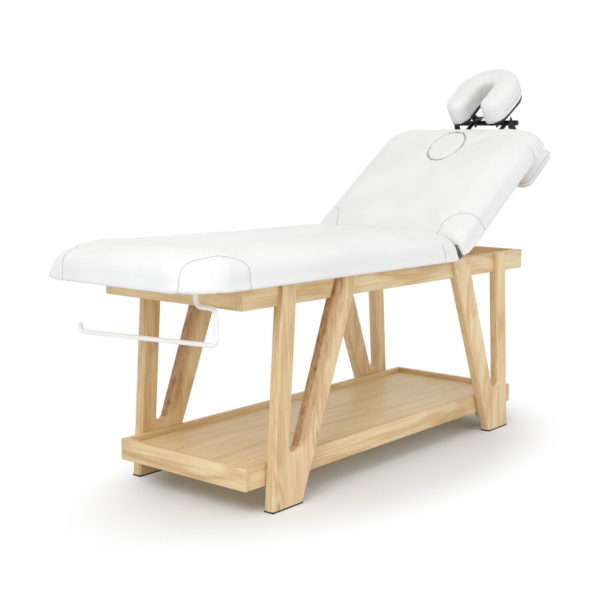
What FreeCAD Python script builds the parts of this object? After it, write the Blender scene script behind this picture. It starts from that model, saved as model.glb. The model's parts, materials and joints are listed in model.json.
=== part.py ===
"""Treatment bed: open wooden base, shelf, upholstered seat and lifting backrest with face cradle.

Millimetres. X runs from the foot end to the head end, -Y is the near long side, +Z is up.
Pieces are drawn about the middle of the base, and moved at the end so that the origin
is on the floor, under the middle of the whole bed.
"""
import FreeCAD, Part

import math
import os

from FreeCAD import Vector

# Cuts run past their piece by this much
overrun = 4.0

# Apron, the frame of four rails under the top
apron_half_length = 739.0
apron_top = 640.0
rail_height = 67.0
rail_thick = 22.0
foot_cross_rail_share = 0.55
cross_rail_before_hinge = 92.375
cross_rail_after_hinge = 121.935
corner_block = 42.0
corner_block_gap = 8.0

# Legs, V-shaped planks: an upright post and a leaning brace that meet in one foot
leg_thick = 36.0
leg_proud = 16.0
post_top_inset = 143.0
post_foot_inset = 99.0
post_width = 61.0
brace_top_inner_inset = 485.0
brace_top_outer_inset = 389.0
foot_inner_inset = 229.0
brace_slot_inset = 209.0
slot_bottom = 160.0
slot_round = 17.0
leg_round = 10.0
pad_height = 5.0
pad_inset = 1.5

# Screws that hold the rails to the legs, driven from inside
bolt_radius = 3.0
bolt_head_radius = 6.0
bolt_head_height = 3.0
bolt_into_leg = 12.0
bolt_clearance = 0.1
bolt_rise = 17.0

# Shelf tray between the legs
tray_end_inset = 28.0
tray_top = 137.0
tray_rim_height = 64.0
tray_rim_thick = 18.0
tray_panel_thick = 12.0
tray_panel_drop = 17.0
tray_groove = 6.0
tray_groove_clearance = 0.3
cleat_length = 36.0
cleat_height = 30.0
cleat_depth = 20.0
cleat_round = 9.0

# Cushions, seen from above rounded rectangles with a crowned top
top_half_width = 327.0
top_side_overhang = 53.0
seat_overhang = 218.0
cushion_rise = 79.0
foot_corner = 130.0
hinge_corner = 24.0
hinge_corner_top = 66.0
head_corner = 30.0
head_corner_top = 84.0
cushion_crown = 10.0
top_edge_round = 42.0
side_draw = 4.0
skirt_hang = 6.0
skirt_gap = 1.5
board_thick = 15.0
board_inset = 22.0
board_corner = 8.0
board_clearance = 0.4

# Shares that shape the cushions' skirt and top edge
skirt_inset_share = 0.3
skirt_level_share = 0.5
top_round_shares = (0.25, 0.5, 0.75, 1.0)

# Lift-back hinge, on the level of the cushions' middle
hinge_inset = 484.045
hinge_rise = 40.0
hinge_gap = 8.0
hinge_pin_radius = 4.0
hinge_eye_radius = 7.0
hinge_arm_thick = 4.0
hinge_arm_gap = 0.4
hinge_arm_clear = 3.0
hinge_arm_depth = 6.0
hinge_upright_width = 14.0
hinge_upright_reach = 7.0
hinge_foot_length = 78.0
hinge_leg_gap = 9.0
hinge_flange_width = 18.0
hinge_flange_thick = 3.0
hinge_pin_head = 2.0
hinge_fit = 0.06

# Backrest
back_length = 662.0
rest_angle = 35.5
back_batten_height = 30.0
back_batten_width = 36.0
back_batten_start = 186.0
back_batten_head_gap = 212.0
back_batten_stay_gap = 28.0
head_batten_inset = 22.0
head_batten_depth = 80.0
head_batten_short = 45.0

# Face hole and its plug
face_hole_from_head = 153.0
face_hole_half_length = 90.0
face_hole_half_width = 68.0
plug_clearance = 1.0
plug_lift_clear = 1.0

# Slotted stays that hold the backrest, one on each side inside the apron
stay_radius = 90.0
stay_half_width = 11.0
stay_thick = 4.0
stay_rail_gap = 12.0
stay_bolt_angle = 42.0
stay_travel_angle = 60.0
stay_end_angle = 8.0
stay_slot_play = 0.35
stay_flange_width = 20.0
stay_flange_start = 12.0
stay_flange_end = 92.0
stay_bolt_radius = 4.0
stay_washer_radius = 12.0
stay_washer_thick = 2.0
stay_block_half = 13.0
stay_gap = 0.4

# Hand knobs
knob_radius = 15.0
knob_height = 20.0
knob_lobe_shares = (0.0, 0.2, 0.4, 0.6, 0.8)
knob_notch_share = 0.26
knob_neck_radius = 9.0
knob_neck_height = 6.0
knob_gap = 0.3

# Cradle outrigger: two rods, their sockets in the head batten, and a crossbar
rod_radius = 8.0
rod_y = 75.0
rod_drop = 55.0
rod_hold = 162.0
socket_wall = 3.0
socket_fit = 0.06
crossbar_reach = 148.0
crossbar_radius = 10.0
crossbar_half = 125.0
rod_screw_radius = 3.0
rod_screw_inset = 62.0

# Face cradle: plate, brackets, pin, cam lever and horseshoe cushion
cradle_arc_reach = 194.0
cradle_arm_length = 100.0
cradle_arc_radius = 81.0
cradle_tube_half = 50.0
cradle_plate_drop = 3.0
cradle_plate_thick = 12.0
cradle_plate_margin = 2.0
cradle_cushion_thick = 84.0
cradle_top_round = 28.0
cradle_low_round = 12.0
cradle_pivot_reach = 136.0
cradle_pivot_drop = 21.0
cradle_pin_radius = 4.0
bracket_y = 46.0
bracket_thick = 5.0
bracket_gap = 0.4
bracket_eye = 12.0
bracket_half = 32.0
cradle_fit = 0.06
cam_radius = 10.0
cam_thick = 8.0
cam_arm_length = 62.0
cam_arm_half = 6.0

# Arm shelf, a padded board slung under the cradle on four straps
shelf_inset = 38.0
shelf_depth = 228.0
shelf_half_width = 215.0
shelf_drop = 180.0
shelf_thick = 72.0
shelf_corner = 36.0
shelf_round = 28.0
strap_width = 38.0
strap_thick = 3.0
strap_y = 137.0
strap_reach = 106.0
strap_top = 4.0
strap_hold = 34.0
strap_gap = 0.3

# Paper roll holder: one bent round bar in a socket under the foot end
bar_radius = 6.5
bar_overhang = 101.0
bar_stem_y = 205.0
bar_near_y = 279.0
bar_far_y = 266.0
bar_shoulder_drop = 48.0
bar_low_drop = 143.0
bar_far_drop = 22.0
bar_upturn = 25.0
bar_bend = 20.0
bar_fit = 0.06
holder_half = 17.0
holder_height = 16.0
holder_wall = 4.0

near, far = -1.0, 1.0
foot, head = -1.0, 1.0
names_y = {near: "near", far: "far"}
names_x = {foot: "foot", head: "head"}

post_top_x = apron_half_length - post_top_inset
post_foot_x = apron_half_length - post_foot_inset
brace_top_inner_x = apron_half_length - brace_top_inner_inset
brace_top_outer_x = apron_half_length - brace_top_outer_inset
foot_inner_x = apron_half_length - foot_inner_inset
brace_slot_x = apron_half_length - brace_slot_inset
tray_half_length = apron_half_length - tray_end_inset
seat_foot_x = -apron_half_length - seat_overhang
bar_x = -apron_half_length - bar_overhang
bar_shoulder_z = apron_top - bar_shoulder_drop
bar_low_z = apron_top - bar_low_drop
hinge_x = apron_half_length - hinge_inset
hinge_z = apron_top + hinge_rise
hinge_foot_start = brace_top_outer_x - hinge_x + hinge_leg_gap
back_batten_end = back_length - back_batten_head_gap
head_batten_end = back_length - head_batten_inset
head_batten_start = head_batten_end - head_batten_depth
rod_start = back_length - rod_hold
rod_screw_u = back_length - rod_screw_inset
crossbar_u = back_length + crossbar_reach
cradle_arc_u = back_length + cradle_arc_reach
cradle_pivot_u = back_length + cradle_pivot_reach
shelf_start = back_length - shelf_inset
strap_u = back_length + strap_reach
pivot = Vector(hinge_x, 0, hinge_z)
board_low = -hinge_rise
board_high = board_low + board_thick
cushion_low = board_low - skirt_hang
cushion_high = board_high + cushion_rise
apron_half_width = top_half_width - top_side_overhang
leg_inner_y = apron_half_width + leg_proud - leg_thick
rail_inner_y = apron_half_width - rail_thick
stay_y = rail_inner_y - stay_rail_gap
back_batten_y = stay_y - back_batten_stay_gap
rail_low = apron_top - rail_height
board_half_width = top_half_width - board_inset
head_batten_half = board_half_width - head_batten_short
hinge_arm_inner_y = apron_half_width + leg_proud + hinge_arm_clear
arm_outer_y = hinge_arm_inner_y + 2 * hinge_arm_thick + 2 * hinge_arm_gap
shapes = {}


# Basic solids
def box(x0, x1, y0, y1, z0, z1):
    low = Vector(min(x0, x1), min(y0, y1), min(z0, z1))
    return Part.makeBox(abs(x1 - x0), abs(y1 - y0), abs(z1 - z0), low)


def bar_y(radius, x, z, y0, y1):
    return Part.makeCylinder(radius, abs(y1 - y0), Vector(x, min(y0, y1), z), Vector(0, 1, 0))


def bar_x_way(radius, y, z, x0, x1):
    return Part.makeCylinder(radius, abs(x1 - x0), Vector(min(x0, x1), y, z), Vector(1, 0, 0))


def bar_z(radius, x, y, z0, z1):
    return Part.makeCylinder(radius, abs(z1 - z0), Vector(x, y, min(z0, z1)), Vector(0, 0, 1))


def plate_xz(points, y0, y1):
    corners = [Vector(x, min(y0, y1), z) for x, z in points]
    face = Part.Face(Part.makePolygon(corners + corners[:1]))
    return face.extrude(Vector(0, abs(y1 - y0), 0))


def fuse_all(solids):
    joined = solids[0]
    for solid in solids[1:]:
        joined = joined.fuse(solid)
    return joined.removeSplitter()


def group(solids):
    return Part.makeCompound(solids)


def mirrored_x(shape):
    return shape.mirror(Vector(0, 0, 0), Vector(1, 0, 0))


def mirrored_y(shape):
    return shape.mirror(Vector(0, 0, 0), Vector(0, 1, 0))


def on_side(shape, side_x, side_y):
    if side_x == foot:
        shape = mirrored_x(shape)
    if side_y == near:
        shape = mirrored_y(shape)
    return shape


# Rounded rectangle lying flat, from lines and quarter arcs, with its own radius at each end
def rounded_rectangle(x0, x1, half_width, radius0, radius1, z):
    turn = math.sqrt(0.5)
    corners = (
        (x1 - radius1, half_width - radius1, radius1, 1, 1),
        (x0 + radius0, half_width - radius0, radius0, -1, 1),
        (x0 + radius0, radius0 - half_width, radius0, -1, -1),
        (x1 - radius1, radius1 - half_width, radius1, 1, -1),
    )
    arcs = []
    for cx, cy, radius, sx, sy in corners:
        side = Vector(cx + sx * radius, cy, z)
        end = Vector(cx, cy + sy * radius, z)
        middle = Vector(cx + sx * radius * turn, cy + sy * radius * turn, z)
        first, last = (side, end) if sx * sy > 0 else (end, side)
        arcs.append((first, middle, last))
    edges = []
    for index, (first, middle, last) in enumerate(arcs):
        edges.append(Part.Arc(first, middle, last).toShape())
        edges.append(Part.makeLine(last, arcs[(index + 1) % len(arcs)][0]))
    return Part.Wire(edges)


# Upholstered block: skirt, full side, rounded top edge and a low crown; corners soften upwards
def cushion_form(x0, x1, half_width, corners0, corners1, low, high):
    side_high = high - cushion_crown - top_edge_round
    steps = [
        (side_draw, low),
        (side_draw * skirt_inset_share, low + side_draw * skirt_level_share),
        (0, low + 2 * side_draw),
        (0, side_high),
    ]
    for share in top_round_shares:
        turn = share * math.pi / 2
        inset = top_edge_round * (1 - math.cos(turn))
        steps.append((inset, side_high + top_edge_round * math.sin(turn)))
    steps.append((2 * top_edge_round, high))
    wires = []
    for inset, level in steps:
        risen = (level - low) / (high - low)
        radius0 = corners0[0] + (corners0[1] - corners0[0]) * risen
        radius1 = corners1[0] + (corners1[1] - corners1[0]) * risen
        wires.append(rounded_rectangle(x0 + inset, x1 - inset, half_width - inset, radius0, radius1, level))
    return Part.makeLoft(wires, True, True)


def board_form(x0, x1, half_width, corner0, corner1, low, high):
    wire = rounded_rectangle(x0, x1, half_width, corner0, corner1, low)
    return Part.Face(wire).extrude(Vector(0, 0, high - low))


# Backrest pieces are drawn lying flat about the hinge, u along X and v up, and then raised
def raised(shape):
    moved = shape.copy()
    moved.translate(pivot)
    moved.rotate(pivot, Vector(0, -1, 0), rest_angle)
    return moved


def leg():
    outline = (
        (post_foot_x, pad_height),
        (post_top_x, apron_top),
        (brace_top_inner_x, apron_top),
        (foot_inner_x, pad_height),
    )
    y0 = leg_inner_y
    y1 = leg_inner_y + leg_thick
    plank = plate_xz(outline, y0, y1)
    post_lean = (post_foot_x - post_top_x) / apron_top
    post_inner = post_foot_x - post_width
    brace_lean = (brace_slot_x - brace_top_outer_x) / (apron_top - slot_bottom)
    above = apron_top + overrun
    slot = plate_xz(
        (
            (post_inner - post_lean * slot_bottom, slot_bottom),
            (post_inner - post_lean * above, above),
            (brace_top_outer_x - brace_lean * overrun, above),
            (brace_slot_x, slot_bottom),
        ),
        y0 - overrun,
        y1 + overrun,
    )
    corners = [edge for edge in slot.Edges if edge.BoundBox.ZMax < slot_bottom + overrun
               and edge.BoundBox.XLength < overrun and edge.BoundBox.YLength > overrun]
    slot = slot.makeFillet(slot_round, corners)
    plank = plank.cut(slot)
    long_edges = []
    for edge in plank.Edges:
        bounds = edge.BoundBox
        if bounds.YLength < overrun and bounds.ZLength > overrun:
            long_edges.append(edge)
        elif bounds.YLength < overrun and slot_bottom - overrun < bounds.ZMax < slot_bottom + overrun:
            long_edges.append(edge)
    plank = plank.makeFillet(leg_round, long_edges)
    notch = box(0, apron_half_length, y0 - overrun, apron_half_width, rail_low, apron_top + overrun)
    return plank.cut(notch)


def bolt_places():
    level = rail_low + rail_height / 2
    brace_middle = (brace_top_inner_x + brace_top_outer_x) / 2
    post_middle = post_top_x - post_width / 2
    places = []
    for x in (brace_middle, post_middle):
        for rise in (-bolt_rise, bolt_rise):
            places.append((x, level + rise))
    return places


def leg_bolt(x, z, radius_extra):
    start = rail_inner_y
    shank = bar_y(bolt_radius + radius_extra, x, z, start, apron_half_width + bolt_into_leg)
    if radius_extra:
        return shank
    cap = bar_y(bolt_head_radius, x, z, start - bolt_head_height, start)
    return shank.fuse(cap)


def make_legs():
    plain = leg()
    for x, z in bolt_places():
        plain = plain.cut(leg_bolt(x, z, bolt_clearance))
    bolts = []
    pads = []
    pad = box(foot_inner_x + pad_inset, post_foot_x - pad_inset, leg_inner_y + pad_inset,
              leg_inner_y + leg_thick - pad_inset, 0, pad_height)
    for side_x in (foot, head):
        for side_y in (near, far):
            name = names_y[side_y] + "_" + names_x[side_x] + "_leg"
            shapes[name] = on_side(plain, side_x, side_y)
            pads.append(on_side(pad, side_x, side_y))
            for x, z in bolt_places():
                bolts.append(on_side(leg_bolt(x, z, 0), side_x, side_y))
    shapes["foot_pads"] = group(pads)
    shapes["leg_bolts"] = group(bolts)


def make_apron():
    side = box(-apron_half_length, apron_half_length, rail_inner_y, apron_half_width, rail_low, apron_top)
    for side_x in (foot, head):
        for x, z in bolt_places():
            side = side.cut(on_side(leg_bolt(x, z, bolt_clearance), side_x, far))
    end = box(apron_half_length - rail_thick, apron_half_length, -rail_inner_y, rail_inner_y,
              rail_low, apron_top)
    shapes["far_rail"] = side
    shapes["near_rail"] = mirrored_y(side)
    shapes["head_rail"] = end
    shapes["foot_rail"] = mirrored_x(end)
    cross = []
    foot_place = -apron_half_length * foot_cross_rail_share
    for x in (foot_place, hinge_x - cross_rail_before_hinge, hinge_x + cross_rail_after_hinge):
        cross.append(box(x, x + rail_thick, -rail_inner_y, rail_inner_y, rail_low, apron_top))
    shapes["cross_rails"] = group(cross)
    blocks = []
    x1 = apron_half_length - rail_thick
    corner = ((x1, rail_inner_y), (x1 - corner_block, rail_inner_y), (x1, rail_inner_y - corner_block))
    points = [Vector(x, y, rail_low + corner_block_gap) for x, y in corner]
    wedge = Part.Face(Part.makePolygon(points + points[:1]))
    wedge = wedge.extrude(Vector(0, 0, rail_height - 2 * corner_block_gap))
    for side_x in (foot, head):
        for side_y in (near, far):
            blocks.append(on_side(wedge, side_x, side_y))
    shapes["corner_blocks"] = group(blocks)


def make_tray():
    low = tray_top - tray_rim_height
    panel_high = tray_top - tray_panel_drop
    panel_low = panel_high - tray_panel_thick
    inner_x = tray_half_length - tray_rim_thick
    inner_y = leg_inner_y - tray_rim_thick
    groove = box(
        -inner_x - tray_groove, inner_x + tray_groove,
        -inner_y - tray_groove, inner_y + tray_groove,
        panel_low - tray_groove_clearance, panel_high + tray_groove_clearance,
    )
    side = box(-inner_x, inner_x, inner_y, leg_inner_y, low, tray_top).cut(groove)
    end = box(inner_x, tray_half_length, -leg_inner_y, leg_inner_y, low, tray_top).cut(groove)
    shapes["tray_far_rim"] = side
    shapes["tray_near_rim"] = mirrored_y(side)
    shapes["tray_head_rim"] = end
    shapes["tray_foot_rim"] = mirrored_x(end)
    edge = tray_groove - tray_groove_clearance
    shapes["tray_panel"] = box(-inner_x - edge, inner_x + edge, -inner_y - edge, inner_y + edge,
                               panel_low, panel_high)
    middle = (foot_inner_x + brace_slot_x) / 2
    cleat = box(middle - cleat_length / 2, middle + cleat_length / 2, leg_inner_y - cleat_depth,
                leg_inner_y, low - cleat_height, low)
    corners = [edge for edge in cleat.Edges if edge.BoundBox.ZMax < low - overrun
               and edge.BoundBox.YLength > overrun]
    cleat = cleat.makeFillet(cleat_round, corners)
    cleats = []
    for side_x in (foot, head):
        for side_y in (near, far):
            cleats.append(on_side(cleat, side_x, side_y))
    shapes["tray_cleats"] = group(cleats)


def make_seat():
    x1 = hinge_x - hinge_gap
    low = hinge_z + cushion_low
    corner = foot_corner - board_inset
    play = board_clearance
    cushion = cushion_form(seat_foot_x, x1, top_half_width, (foot_corner, foot_corner),
                           (hinge_corner, hinge_corner_top), low, hinge_z + cushion_high)
    board = board_form(seat_foot_x + board_inset, x1 - board_inset, board_half_width, corner, board_corner,
                       hinge_z + board_low, hinge_z + board_high)
    pocket = board_form(seat_foot_x + board_inset - play, x1 - board_inset + play, board_half_width + play,
                        corner, board_corner, low - overrun, hinge_z + board_high)
    rest = box(-apron_half_length - overrun, x1 + overrun, -arm_outer_y, arm_outer_y, low - overrun,
               hinge_z + board_low + skirt_gap)
    shapes["seat_board"] = board
    shapes["seat_cushion"] = cushion.cut(pocket).cut(rest)


def face_hole(margin, low, high):
    ellipse = Part.Ellipse(Vector(back_length - face_hole_from_head, 0, low),
                           face_hole_half_length + margin, face_hole_half_width + margin)
    face = Part.Face(Part.Wire(ellipse.toShape()))
    return face.extrude(Vector(0, 0, high - low))


def make_back():
    x0 = hinge_gap
    play = board_clearance
    cushion = cushion_form(x0, back_length, top_half_width, (hinge_corner, hinge_corner_top),
                           (head_corner, head_corner_top), cushion_low, cushion_high)
    board = board_form(x0 + board_inset, back_length - board_inset, board_half_width, board_corner,
                       board_corner, board_low, board_high)
    pocket = board_form(x0 + board_inset - play, back_length - board_inset + play, board_half_width + play,
                        board_corner, board_corner, cushion_low - overrun, board_high)
    rest = box(x0 - overrun, apron_half_length - hinge_x + overrun, -arm_outer_y, arm_outer_y,
               cushion_low - overrun, board_low + skirt_gap)
    plug = cushion.common(face_hole(-plug_clearance, board_low + skirt_gap, cushion_high + overrun))
    hole = face_hole(0, board_low - overrun, cushion_high + overrun)
    shapes["back_board"] = raised(board.cut(hole))
    shapes["back_cushion"] = raised(cushion.cut(pocket).cut(rest).cut(hole))
    shapes["face_hole_plug"] = raised(plug)
    low = board_low - back_batten_height
    battens = []
    for side_y in (near, far):
        batten = box(back_batten_start, back_batten_end, back_batten_y - back_batten_width,
                     back_batten_y, low, board_low)
        battens.append(raised(on_side(batten, head, side_y)))
    shapes["back_battens"] = group(battens)


def hinge_arm(y0, y1, flange_y0, flange_y1):
    level = -hinge_rise
    upright = box(-hinge_upright_reach, hinge_upright_width - hinge_upright_reach, y0, y1,
                  level - hinge_arm_depth, 0)
    eye = bar_y(hinge_eye_radius, 0, 0, y0, y1)
    start = -hinge_upright_reach
    foot_end = hinge_foot_start + hinge_foot_length
    strip = box(start, foot_end, y0, y1, level - hinge_arm_depth, level)
    flange = box(hinge_foot_start, foot_end, flange_y0, flange_y1, level - hinge_flange_thick, level)
    arm = fuse_all([upright, eye, strip, flange])
    return arm.cut(bar_y(hinge_pin_radius + hinge_fit, 0, 0, y0 - overrun, y1 + overrun))


def make_hinges():
    seat_y1 = hinge_arm_inner_y + hinge_arm_thick
    back_y0 = seat_y1 + hinge_arm_gap
    back_y1 = back_y0 + hinge_arm_thick
    flange = hinge_arm_inner_y - hinge_flange_width
    seat_arm = mirrored_x(hinge_arm(hinge_arm_inner_y, seat_y1, flange, hinge_arm_inner_y))
    back_arm = hinge_arm(back_y0, back_y1, flange, back_y0)
    pin = bar_y(hinge_pin_radius, 0, 0, hinge_arm_inner_y - hinge_pin_head, back_y1 + hinge_pin_head)
    for y0 in (hinge_arm_inner_y - hinge_pin_head - hinge_arm_gap, back_y1 + hinge_arm_gap):
        pin = pin.fuse(bar_y(hinge_eye_radius - hinge_pin_head, 0, 0, y0, y0 + hinge_pin_head))
    pins = []
    for side_y in (near, far):
        fixed = on_side(seat_arm, head, side_y)
        fixed.translate(pivot)
        shapes["hinge_seat_arm_" + names_y[side_y]] = fixed
        shapes["hinge_back_arm_" + names_y[side_y]] = raised(on_side(back_arm, head, side_y))
        one = on_side(pin, head, side_y)
        one.translate(pivot)
        pins.append(one)
    shapes["hinge_pins"] = group(pins)


# Ring sector in the XZ plane about the hinge, angles in degrees from +X
def sector(inner, outer, angle0, angle1, y0, y1):
    a0, a1 = math.radians(angle0), math.radians(angle1)
    am = (a0 + a1) / 2

    def at(radius, angle):
        return Vector(radius * math.cos(angle), y0, radius * math.sin(angle))

    edges = [
        Part.Arc(at(outer, a0), at(outer, am), at(outer, a1)).toShape(),
        Part.makeLine(at(outer, a1), at(inner, a1)),
        Part.Arc(at(inner, a1), at(inner, am), at(inner, a0)).toShape(),
        Part.makeLine(at(inner, a0), at(outer, a0)),
    ]
    return Part.Face(Part.Wire(edges)).extrude(Vector(0, y1 - y0, 0))


def stay_plate():
    y0 = stay_y - stay_thick
    y1 = stay_y
    last = -stay_bolt_angle - stay_travel_angle
    band = sector(stay_radius - stay_half_width, stay_radius + stay_half_width,
                  last - stay_end_angle, -stay_bolt_angle + stay_end_angle, y0, y1)
    half = stay_bolt_radius + stay_slot_play
    slot = sector(stay_radius - half, stay_radius + half, last, -stay_bolt_angle, y0 - overrun, y1 + overrun)
    for angle in (last, -stay_bolt_angle):
        x = stay_radius * math.cos(math.radians(angle))
        z = stay_radius * math.sin(math.radians(angle))
        slot = slot.fuse(bar_y(half, x, z, y0 - overrun, y1 + overrun))
    level = -hinge_rise
    reach = stay_radius + stay_half_width
    turn = math.radians(-stay_bolt_angle + stay_end_angle)
    web = plate_xz(
        (
            (stay_flange_start, level),
            (stay_flange_end, level),
            (reach * math.cos(turn), reach * math.sin(turn)),
            (stay_flange_start, -(stay_radius - stay_half_width / 2)),
        ),
        y0,
        y1,
    )
    flange = box(stay_flange_start, stay_flange_end, y0 - stay_flange_width, y1,
                 level - hinge_flange_thick, level)
    return fuse_all([band, web, flange]).cut(slot)


def knob_shape(bore):
    body = Part.makeCylinder(knob_radius, knob_height)
    for share in knob_lobe_shares:
        turn = 2 * math.pi * share
        start = Vector(knob_radius * math.cos(turn), knob_radius * math.sin(turn), -overrun)
        notch = Part.makeCylinder(knob_radius * knob_notch_share, knob_height + 2 * overrun, start)
        body = body.cut(notch)
    neck = Part.makeCylinder(knob_neck_radius, knob_neck_height, Vector(0, 0, -knob_neck_height))
    hole = Part.makeCylinder(bore, knob_neck_height + knob_height / 2 + overrun,
                             Vector(0, 0, -knob_neck_height - overrun))
    return body.fuse(neck).removeSplitter().cut(hole)


def make_stays():
    plate = stay_plate()
    x = stay_radius * math.cos(math.radians(stay_bolt_angle))
    z = -stay_radius * math.sin(math.radians(stay_bolt_angle))
    blocks = []
    bolts = []
    block_y = stay_y + stay_gap
    washer_y = stay_y - stay_thick - stay_gap
    knob_y = washer_y - stay_washer_thick - knob_gap
    block = box(x - stay_block_half, x + stay_block_half, block_y, rail_inner_y,
                z - stay_block_half, z + stay_block_half)
    block = block.cut(bar_y(stay_bolt_radius, x, z, block_y - overrun, rail_inner_y + overrun))
    bolt_end = knob_y - knob_neck_height - knob_height / 2
    bolt = bar_y(stay_bolt_radius, x, z, bolt_end, rail_inner_y)
    bolt = bolt.fuse(bar_y(stay_washer_radius, x, z, washer_y - stay_washer_thick, washer_y))
    knob = knob_shape(stay_bolt_radius + hinge_fit)
    knob.rotate(Vector(0, 0, 0), Vector(1, 0, 0), 90)
    knob.translate(Vector(x, knob_y - knob_neck_height, z))
    for side_y in (near, far):
        shapes["stay_plate_" + names_y[side_y]] = raised(on_side(plate, head, side_y))
        for piece, pile in ((block, blocks), (bolt, bolts)):
            one = on_side(piece, head, side_y)
            one.translate(pivot)
            pile.append(one)
        one = on_side(knob, head, side_y)
        one.translate(pivot)
        shapes["stay_knob_" + names_y[side_y]] = one
    shapes["stay_blocks"] = group(blocks)
    shapes["stay_bolts"] = group(bolts)


def make_outrigger():
    low = board_low - back_batten_height
    batten = box(head_batten_start, head_batten_end, -head_batten_half, head_batten_half, low, board_low)
    crossbar = bar_y(crossbar_radius, crossbar_u, -rod_drop, -crossbar_half, crossbar_half)
    sockets = []
    rods = []
    outer = rod_radius + socket_wall
    for side_y in (near, far):
        y = side_y * rod_y
        sleeve = bar_x_way(outer, y, -rod_drop, head_batten_start, head_batten_end)
        batten = batten.cut(bar_x_way(outer, y, -rod_drop, head_batten_start - overrun,
                                      head_batten_end + overrun))
        bore = bar_x_way(rod_radius + socket_fit, y, -rod_drop, head_batten_start - overrun,
                         head_batten_end + overrun)
        screw_hole = bar_z(rod_screw_radius, rod_screw_u, y, low - overrun, -rod_drop)
        sleeve = sleeve.cut(bore).cut(screw_hole)
        batten = batten.cut(screw_hole)
        sockets.append(raised(sleeve))
        rod = bar_x_way(rod_radius, y, -rod_drop, rod_start, crossbar_u)
        rods.append(raised(rod.cut(crossbar)))
        knob = knob_shape(rod_screw_radius)
        knob.rotate(Vector(0, 0, 0), Vector(1, 0, 0), 180)
        knob_top = low - knob_gap - knob_neck_height
        knob.translate(Vector(rod_screw_u, y, knob_top))
        screw_top = -rod_drop - rod_radius - knob_gap
        stem = bar_z(rod_screw_radius - knob_gap, rod_screw_u, y, knob_top - knob_height / 2, screw_top)
        fixed = knob.fuse(stem).removeSplitter()
        filled = bar_z(rod_screw_radius, rod_screw_u, y, knob_top - knob_height / 2, low - knob_gap)
        fixed = fixed.fuse(filled).removeSplitter()
        shapes["cradle_clamp_knob_" + names_y[side_y]] = raised(fixed)
    shapes["head_batten"] = raised(batten)
    shapes["rod_sockets"] = group(sockets)
    shapes["cradle_rods"] = group(rods)
    shapes["cradle_crossbar"] = raised(crossbar)


# Horseshoe outline: half ring at the head end and two straight arms with round ends
def horseshoe(margin, low, high):
    outer = cradle_arc_radius + cradle_tube_half + margin
    inner = cradle_arc_radius - cradle_tube_half - margin
    end_u = cradle_arc_u - cradle_arm_length
    round_end = cradle_tube_half + margin
    middle = cradle_arc_radius

    def at(u, y):
        return Vector(u, y, low)

    edges = [
        Part.Arc(at(cradle_arc_u, -outer), at(cradle_arc_u + outer, 0), at(cradle_arc_u, outer)).toShape(),
        Part.makeLine(at(cradle_arc_u, outer), at(end_u, outer)),
        Part.Arc(at(end_u, outer), at(end_u - round_end, middle), at(end_u, inner)).toShape(),
        Part.makeLine(at(end_u, inner), at(cradle_arc_u, inner)),
        Part.Arc(at(cradle_arc_u, inner), at(cradle_arc_u + inner, 0), at(cradle_arc_u, -inner)).toShape(),
        Part.makeLine(at(cradle_arc_u, -inner), at(end_u, -inner)),
        Part.Arc(at(end_u, -inner), at(end_u - round_end, -middle), at(end_u, -outer)).toShape(),
        Part.makeLine(at(end_u, -outer), at(cradle_arc_u, -outer)),
    ]
    return Part.Face(Part.Wire(edges)).extrude(Vector(0, 0, high - low))


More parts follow.
